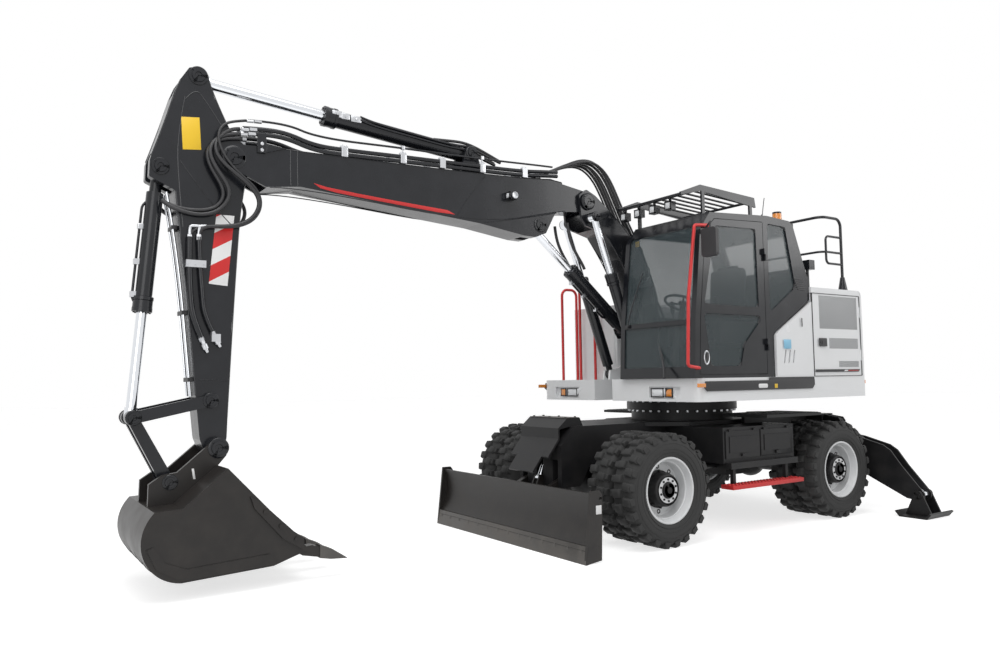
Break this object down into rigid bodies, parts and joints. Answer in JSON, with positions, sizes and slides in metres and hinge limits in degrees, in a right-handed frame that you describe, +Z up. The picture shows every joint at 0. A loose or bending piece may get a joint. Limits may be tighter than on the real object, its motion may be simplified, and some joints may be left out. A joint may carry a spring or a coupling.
{
  "type": "wheeled excavator",
  "caption": "Wheeled excavator with a two-piece boom, arm and bucket, a slewing cab on a wheeled frame, a dozer blade in front and outriggers behind.",
  "frame": {"origin": "on the ground, in the middle of the whole machine's length and width", "axes": "+X to the blade and the digging gear, +Y to the driver's left, +Z up"},
  "size_m": [7.9356, 3.78, 4.0691],
  "materials": {
    "black_paint": "satin",
    "white_paint": "gloss",
    "frame_black": "satin",
    "red_paint": "satin",
    "rim_white": "satin",
    "tread_rubber": "matte",
    "rod_chrome": "polished",
    "window_glass": "gloss",
    "seat_fabric": "matte",
    "engine_iron": "matte"
  },
  "bodies": {
    "chassis": {"undercarriage_frame": "frame_black", "front_axle": "frame_black", "rear_axle": "frame_black", "drivetrain": "frame_black", "side_box_left": "frame_black", "side_box_right": "frame_black", "slew_ring": "frame_black"},
    "upper": {"upper_deck": "white_paint", "counterweight": "white_paint", "engine_house": "white_paint", "engine": "engine_iron", "right_box": "white_paint", "cab": "black_paint", "cab_glass": "window_glass", "seat": "seat_fabric", "roof_guard": "black_paint", "hood_rail": "black_paint", "ladder_rails": "red_paint", "cab_handrail": "red_paint", "mirror": "black_paint"},
    "cab_door": {"cab_door": "black_paint", "door_glass": "window_glass"},
    "engine_door_left": {"engine_door_left": "white_paint"},
    "engine_door_right": {"engine_door_right": "white_paint"},
    "base_boom": {"base_boom": "black_paint"},
    "front_boom": {"front_boom": "black_paint"},
    "arm": {"arm": "black_paint"},
    "bucket": {"bucket": "frame_black"},
    "idler_links": {"idler_links": "black_paint"},
    "bucket_link": {"bucket_link": "black_paint"},
    "blade_arms": {"blade_arms": "frame_black"},
    "blade": {"blade": "frame_black"},
    "lift_cylinder_barrel": {"lift_cylinder_barrel": "black_paint"},
    "lift_cylinder_rod": {"lift_cylinder_rod": "rod_chrome"},
    "adjust_cylinder_barrel": {"adjust_cylinder_barrel": "black_paint"},
    "adjust_cylinder_rod": {"adjust_cylinder_rod": "rod_chrome"},
    "arm_cylinder_barrel": {"arm_cylinder_barrel": "black_paint"},
    "arm_cylinder_rod": {"arm_cylinder_rod": "rod_chrome"},
    "bucket_cylinder_barrel": {"bucket_cylinder_barrel": "black_paint"},
    "bucket_cylinder_rod": {"bucket_cylinder_rod": "rod_chrome"},
    "blade_cylinder_barrel": {"blade_cylinder_barrel": "black_paint"},
    "blade_cylinder_rod": {"blade_cylinder_rod": "rod_chrome"},
    "outrigger_cylinder_left_barrel": {"outrigger_cylinder_left_barrel": "black_paint"},
    "outrigger_cylinder_left_rod": {"outrigger_cylinder_left_rod": "rod_chrome"},
    "outrigger_cylinder_right_barrel": {"outrigger_cylinder_right_barrel": "black_paint"},
    "outrigger_cylinder_right_rod": {"outrigger_cylinder_right_rod": "rod_chrome"},
    "knuckle_left": {"knuckle_left": "frame_black"},
    "outrigger_left": {"outrigger_left": "frame_black"},
    "pad_left": {"pad_left": "frame_black"},
    "knuckle_right": {"knuckle_right": "frame_black"},
    "outrigger_right": {"outrigger_right": "frame_black"},
    "pad_right": {"pad_right": "frame_black"},
    "wheel_front_left": {"rim_front_left": "rim_white", "tyre_front_left": "tread_rubber"},
    "wheel_front_right": {"rim_front_right": "rim_white", "tyre_front_right": "tread_rubber"},
    "wheel_rear_left": {"rim_rear_left": "rim_white", "tyre_rear_left": "tread_rubber"},
    "wheel_rear_right": {"rim_rear_right": "rim_white", "tyre_rear_right": "tread_rubber"}
  },
  "joints": [
    {"name": "slew", "type": "hinge", "parent": "chassis", "child": "upper", "pos_m": [-1.828, 0, 1.304], "axis": [0, 0, 1], "continuous": true},
    {"name": "steering_left", "type": "hinge", "parent": "chassis", "child": "knuckle_left", "pos_m": [-0.378, 0.56, 0.52], "axis": [0, 0, 1], "range_deg": [-28, 28]},
    {"name": "steering_right", "type": "hinge", "parent": "chassis", "child": "knuckle_right", "pos_m": [-0.378, -0.56, 0.52], "axis": [0, 0, 1], "range_deg": [-28, 28]},
    {"name": "wheel_front_left", "type": "hinge", "parent": "knuckle_left", "child": "wheel_front_left", "pos_m": [-0.378, 0, 0.52], "axis": [0, 1, 0], "continuous": true},
    {"name": "wheel_front_right", "type": "hinge", "parent": "knuckle_right", "child": "wheel_front_right", "pos_m": [-0.378, 0, 0.52], "axis": [0, 1, 0], "continuous": true},
    {"name": "wheel_rear_left", "type": "hinge", "parent": "chassis", "child": "wheel_rear_left", "pos_m": [-2.978, 0, 0.52], "axis": [0, 1, 0], "continuous": true},
    {"name": "wheel_rear_right", "type": "hinge", "parent": "chassis", "child": "wheel_rear_right", "pos_m": [-2.978, 0, 0.52], "axis": [0, 1, 0], "continuous": true},
    {"name": "boom_lift", "type": "hinge", "parent": "upper", "child": "base_boom", "pos_m": [-1.448, -0.14, 1.83], "axis": [0, -1, 0], "range_deg": [-25, 25]},
    {"name": "lift_cylinder_pivot", "type": "hinge", "parent": "upper", "child": "lift_cylinder_barrel", "pos_m": [-1.118, -0.14, 1.59], "axis": [0, -1, 0], "range_deg": [-23.96, 23.96]},
    {"name": "lift_cylinder_stroke", "type": "slide", "parent": "lift_cylinder_barrel", "child": "lift_cylinder_rod", "axis": [0.347, 0, 0.9379], "range_m": [-0.1708, 0.1708]},
    {"name": "boom_adjust", "type": "hinge", "parent": "base_boom", "child": "front_boom", "pos_m": [-0.49803, -0.14, 3.4198], "axis": [0, 1, 0], "range_deg": [-30, 20]},
    {"name": "adjust_cylinder_pivot", "type": "hinge", "parent": "base_boom", "child": "adjust_cylinder_barrel", "pos_m": [-1.11194, -0.14, 2.06488], "axis": [0, 1, 0], "range_deg": [-6.3, 4.36]},
    {"name": "adjust_cylinder_stroke", "type": "slide", "parent": "adjust_cylinder_barrel", "child": "adjust_cylinder_rod", "axis": [0.7648, 0, 0.6443], "range_m": [-0.2175, 0.3248]},
    {"name": "arm_swing", "type": "hinge", "parent": "front_boom", "child": "arm", "pos_m": [3.18959, -0.14, 3.36702], "axis": [0, 1, 0], "range_deg": [-70, 30]},
    {"name": "arm_cylinder_pivot", "type": "hinge", "parent": "front_boom", "child": "arm_cylinder_barrel", "pos_m": [0.90886, -0.14, 3.7517], "axis": [0, 1, 0], "range_deg": [-3.82, 1.92]},
    {"name": "arm_cylinder_stroke", "type": "slide", "parent": "arm_cylinder_barrel", "child": "arm_cylinder_rod", "axis": [0.9956, 0, 0.094], "range_m": [-0.7514, 0.3237]},
    {"name": "bucket_curl", "type": "hinge", "parent": "arm", "child": "bucket", "pos_m": [3.30864, -0.14, 1.04907], "axis": [0, 1, 0], "range_deg": [-90, 15]},
    {"name": "idler_pivot", "type": "hinge", "parent": "arm", "child": "idler_links", "pos_m": [3.35588, -0.14, 1.41598], "axis": [0, 1, 0], "range_deg": [-77.14, 13.27]},
    {"name": "bucket_link_pivot", "type": "hinge", "parent": "idler_links", "child": "bucket_link", "pos_m": [3.90964, -0.14, 1.30107], "axis": [0, 1, 0], "range_deg": [-9.49, 54.47]},
    {"name": "bucket_cylinder_pivot", "type": "hinge", "parent": "arm", "child": "bucket_cylinder_barrel", "pos_m": [3.7386, -0.14, 3.22499], "axis": [0, 1, 0], "range_deg": [-1.71, 7.77]},
    {"name": "bucket_cylinder_stroke", "type": "slide", "parent": "bucket_cylinder_barrel", "child": "bucket_cylinder_rod", "axis": [0.0886, 0, -0.9961], "range_m": [-0.6636, 0.1131]},
    {"name": "blade_lift", "type": "hinge", "parent": "chassis", "child": "blade_arms", "pos_m": [-0.008, 0, 0.59], "axis": [0, -1, 0], "range_deg": [-4, 40]},
    {"name": "blade_level", "type": "hinge", "parent": "blade_arms", "child": "blade", "pos_m": [0.43964, 0, 0.3907], "axis": [0, -1, 0], "range_deg": [-40, 4]},
    {"name": "blade_cylinder_pivot", "type": "hinge", "parent": "chassis", "child": "blade_cylinder_barrel", "pos_m": [0.022, 0, 0.985], "axis": [0, -1, 0], "range_deg": [-1.03, 5.77]},
    {"name": "blade_cylinder_stroke", "type": "slide", "parent": "blade_cylinder_barrel", "child": "blade_cylinder_rod", "axis": [0.3818, 0, -0.9242], "range_m": [-0.1391, 0.0166]},
    {"name": "outrigger_left_swing", "type": "hinge", "parent": "chassis", "child": "outrigger_left", "pos_m": [-3.738, 0.5, 0.8], "axis": [1, 0, 0], "range_deg": [-4, 45]},
    {"name": "outrigger_cylinder_left_pivot", "type": "hinge", "parent": "chassis", "child": "outrigger_cylinder_left_barrel", "pos_m": [-3.738, 0.72, 1], "axis": [1, 0, 0], "range_deg": [-5.01, 51.19]},
    {"name": "outrigger_cylinder_left_stroke", "type": "slide", "parent": "outrigger_cylinder_left_barrel", "child": "outrigger_cylinder_left_rod", "axis": [0, 0.7852, -0.6193], "range_m": [-0.1985, 0.0204]},
    {"name": "pad_left_tilt", "type": "hinge", "parent": "outrigger_left", "child": "pad_left", "pos_m": [-3.738, 1.69, 0.235], "axis": [1, 0, 0], "range_deg": [-38, 25]},
    {"name": "outrigger_right_swing", "type": "hinge", "parent": "chassis", "child": "outrigger_right", "pos_m": [-3.738, -0.5, 0.8], "axis": [-1, 0, 0], "range_deg": [-4, 45]},
    {"name": "outrigger_cylinder_right_pivot", "type": "hinge", "parent": "chassis", "child": "outrigger_cylinder_right_barrel", "pos_m": [-3.738, -0.72, 1], "axis": [-1, 0, 0], "range_deg": [-5.01, 51.19]},
    {"name": "outrigger_cylinder_right_stroke", "type": "slide", "parent": "outrigger_cylinder_right_barrel", "child": "outrigger_cylinder_right_rod", "axis": [0, -0.7852, -0.6193], "range_m": [-0.1985, 0.0204]},
    {"name": "pad_right_tilt", "type": "hinge", "parent": "outrigger_right", "child": "pad_right", "pos_m": [-3.738, -1.69, 0.235], "axis": [-1, 0, 0], "range_deg": [-38, 25]},
    {"name": "cab_door_hinge", "type": "hinge", "parent": "upper", "child": "cab_door", "pos_m": [-1.808, 1.242, 2.3], "axis": [0, 0, 1], "range_deg": [0, 160]},
    {"name": "engine_door_left_hinge", "type": "hinge", "parent": "upper", "child": "engine_door_left", "pos_m": [-3.399, 1.24, 1.9], "axis": [0, 0, 1], "range_deg": [0, 80]},
    {"name": "engine_door_right_hinge", "type": "hinge", "parent": "upper", "child": "engine_door_right", "pos_m": [-3.399, -1.24, 1.9], "axis": [0, 0, -1], "range_deg": [0, 80]}
  ],
  "couplings": [
    {"joint": "steering_right", "follows": "steering_left", "ratio": 1},
    {"joint": "lift_cylinder_pivot", "follows": "boom_lift", "ratio": 0.93844},
    {"joint": "lift_cylinder_stroke", "follows": "boom_lift", "m_per_rad": 0.38451},
    {"joint": "adjust_cylinder_pivot", "follows": "boom_adjust", "ratio": 0.19318},
    {"joint": "adjust_cylinder_stroke", "follows": "boom_adjust", "m_per_rad": -0.61459},
    {"joint": "arm_cylinder_pivot", "follows": "arm_swing", "ratio": 0.04748},
    {"joint": "arm_cylinder_stroke", "follows": "arm_swing", "m_per_rad": 0.61257},
    {"joint": "idler_pivot", "follows": "bucket_curl", "ratio": 0.85156},
    {"joint": "bucket_link_pivot", "follows": "bucket_curl", "ratio": -0.59963},
    {"joint": "bucket_cylinder_pivot", "follows": "bucket_curl", "ratio": -0.08083},
    {"joint": "bucket_cylinder_stroke", "follows": "bucket_curl", "m_per_rad": 0.42055},
    {"joint": "blade_level", "follows": "blade_lift", "ratio": -1},
    {"joint": "blade_cylinder_pivot", "follows": "blade_lift", "ratio": 0.13178},
    {"joint": "blade_cylinder_stroke", "follows": "blade_lift", "m_per_rad": -0.19493},
    {"joint": "outrigger_cylinder_left_pivot", "follows": "outrigger_left_swing", "ratio": 1.1265},
    {"joint": "outrigger_cylinder_left_stroke", "follows": "outrigger_left_swing", "m_per_rad": -0.24886},
    {"joint": "outrigger_cylinder_right_pivot", "follows": "outrigger_right_swing", "ratio": 1.1265},
    {"joint": "outrigger_cylinder_right_stroke", "follows": "outrigger_right_swing", "m_per_rad": -0.24886}
  ]
}
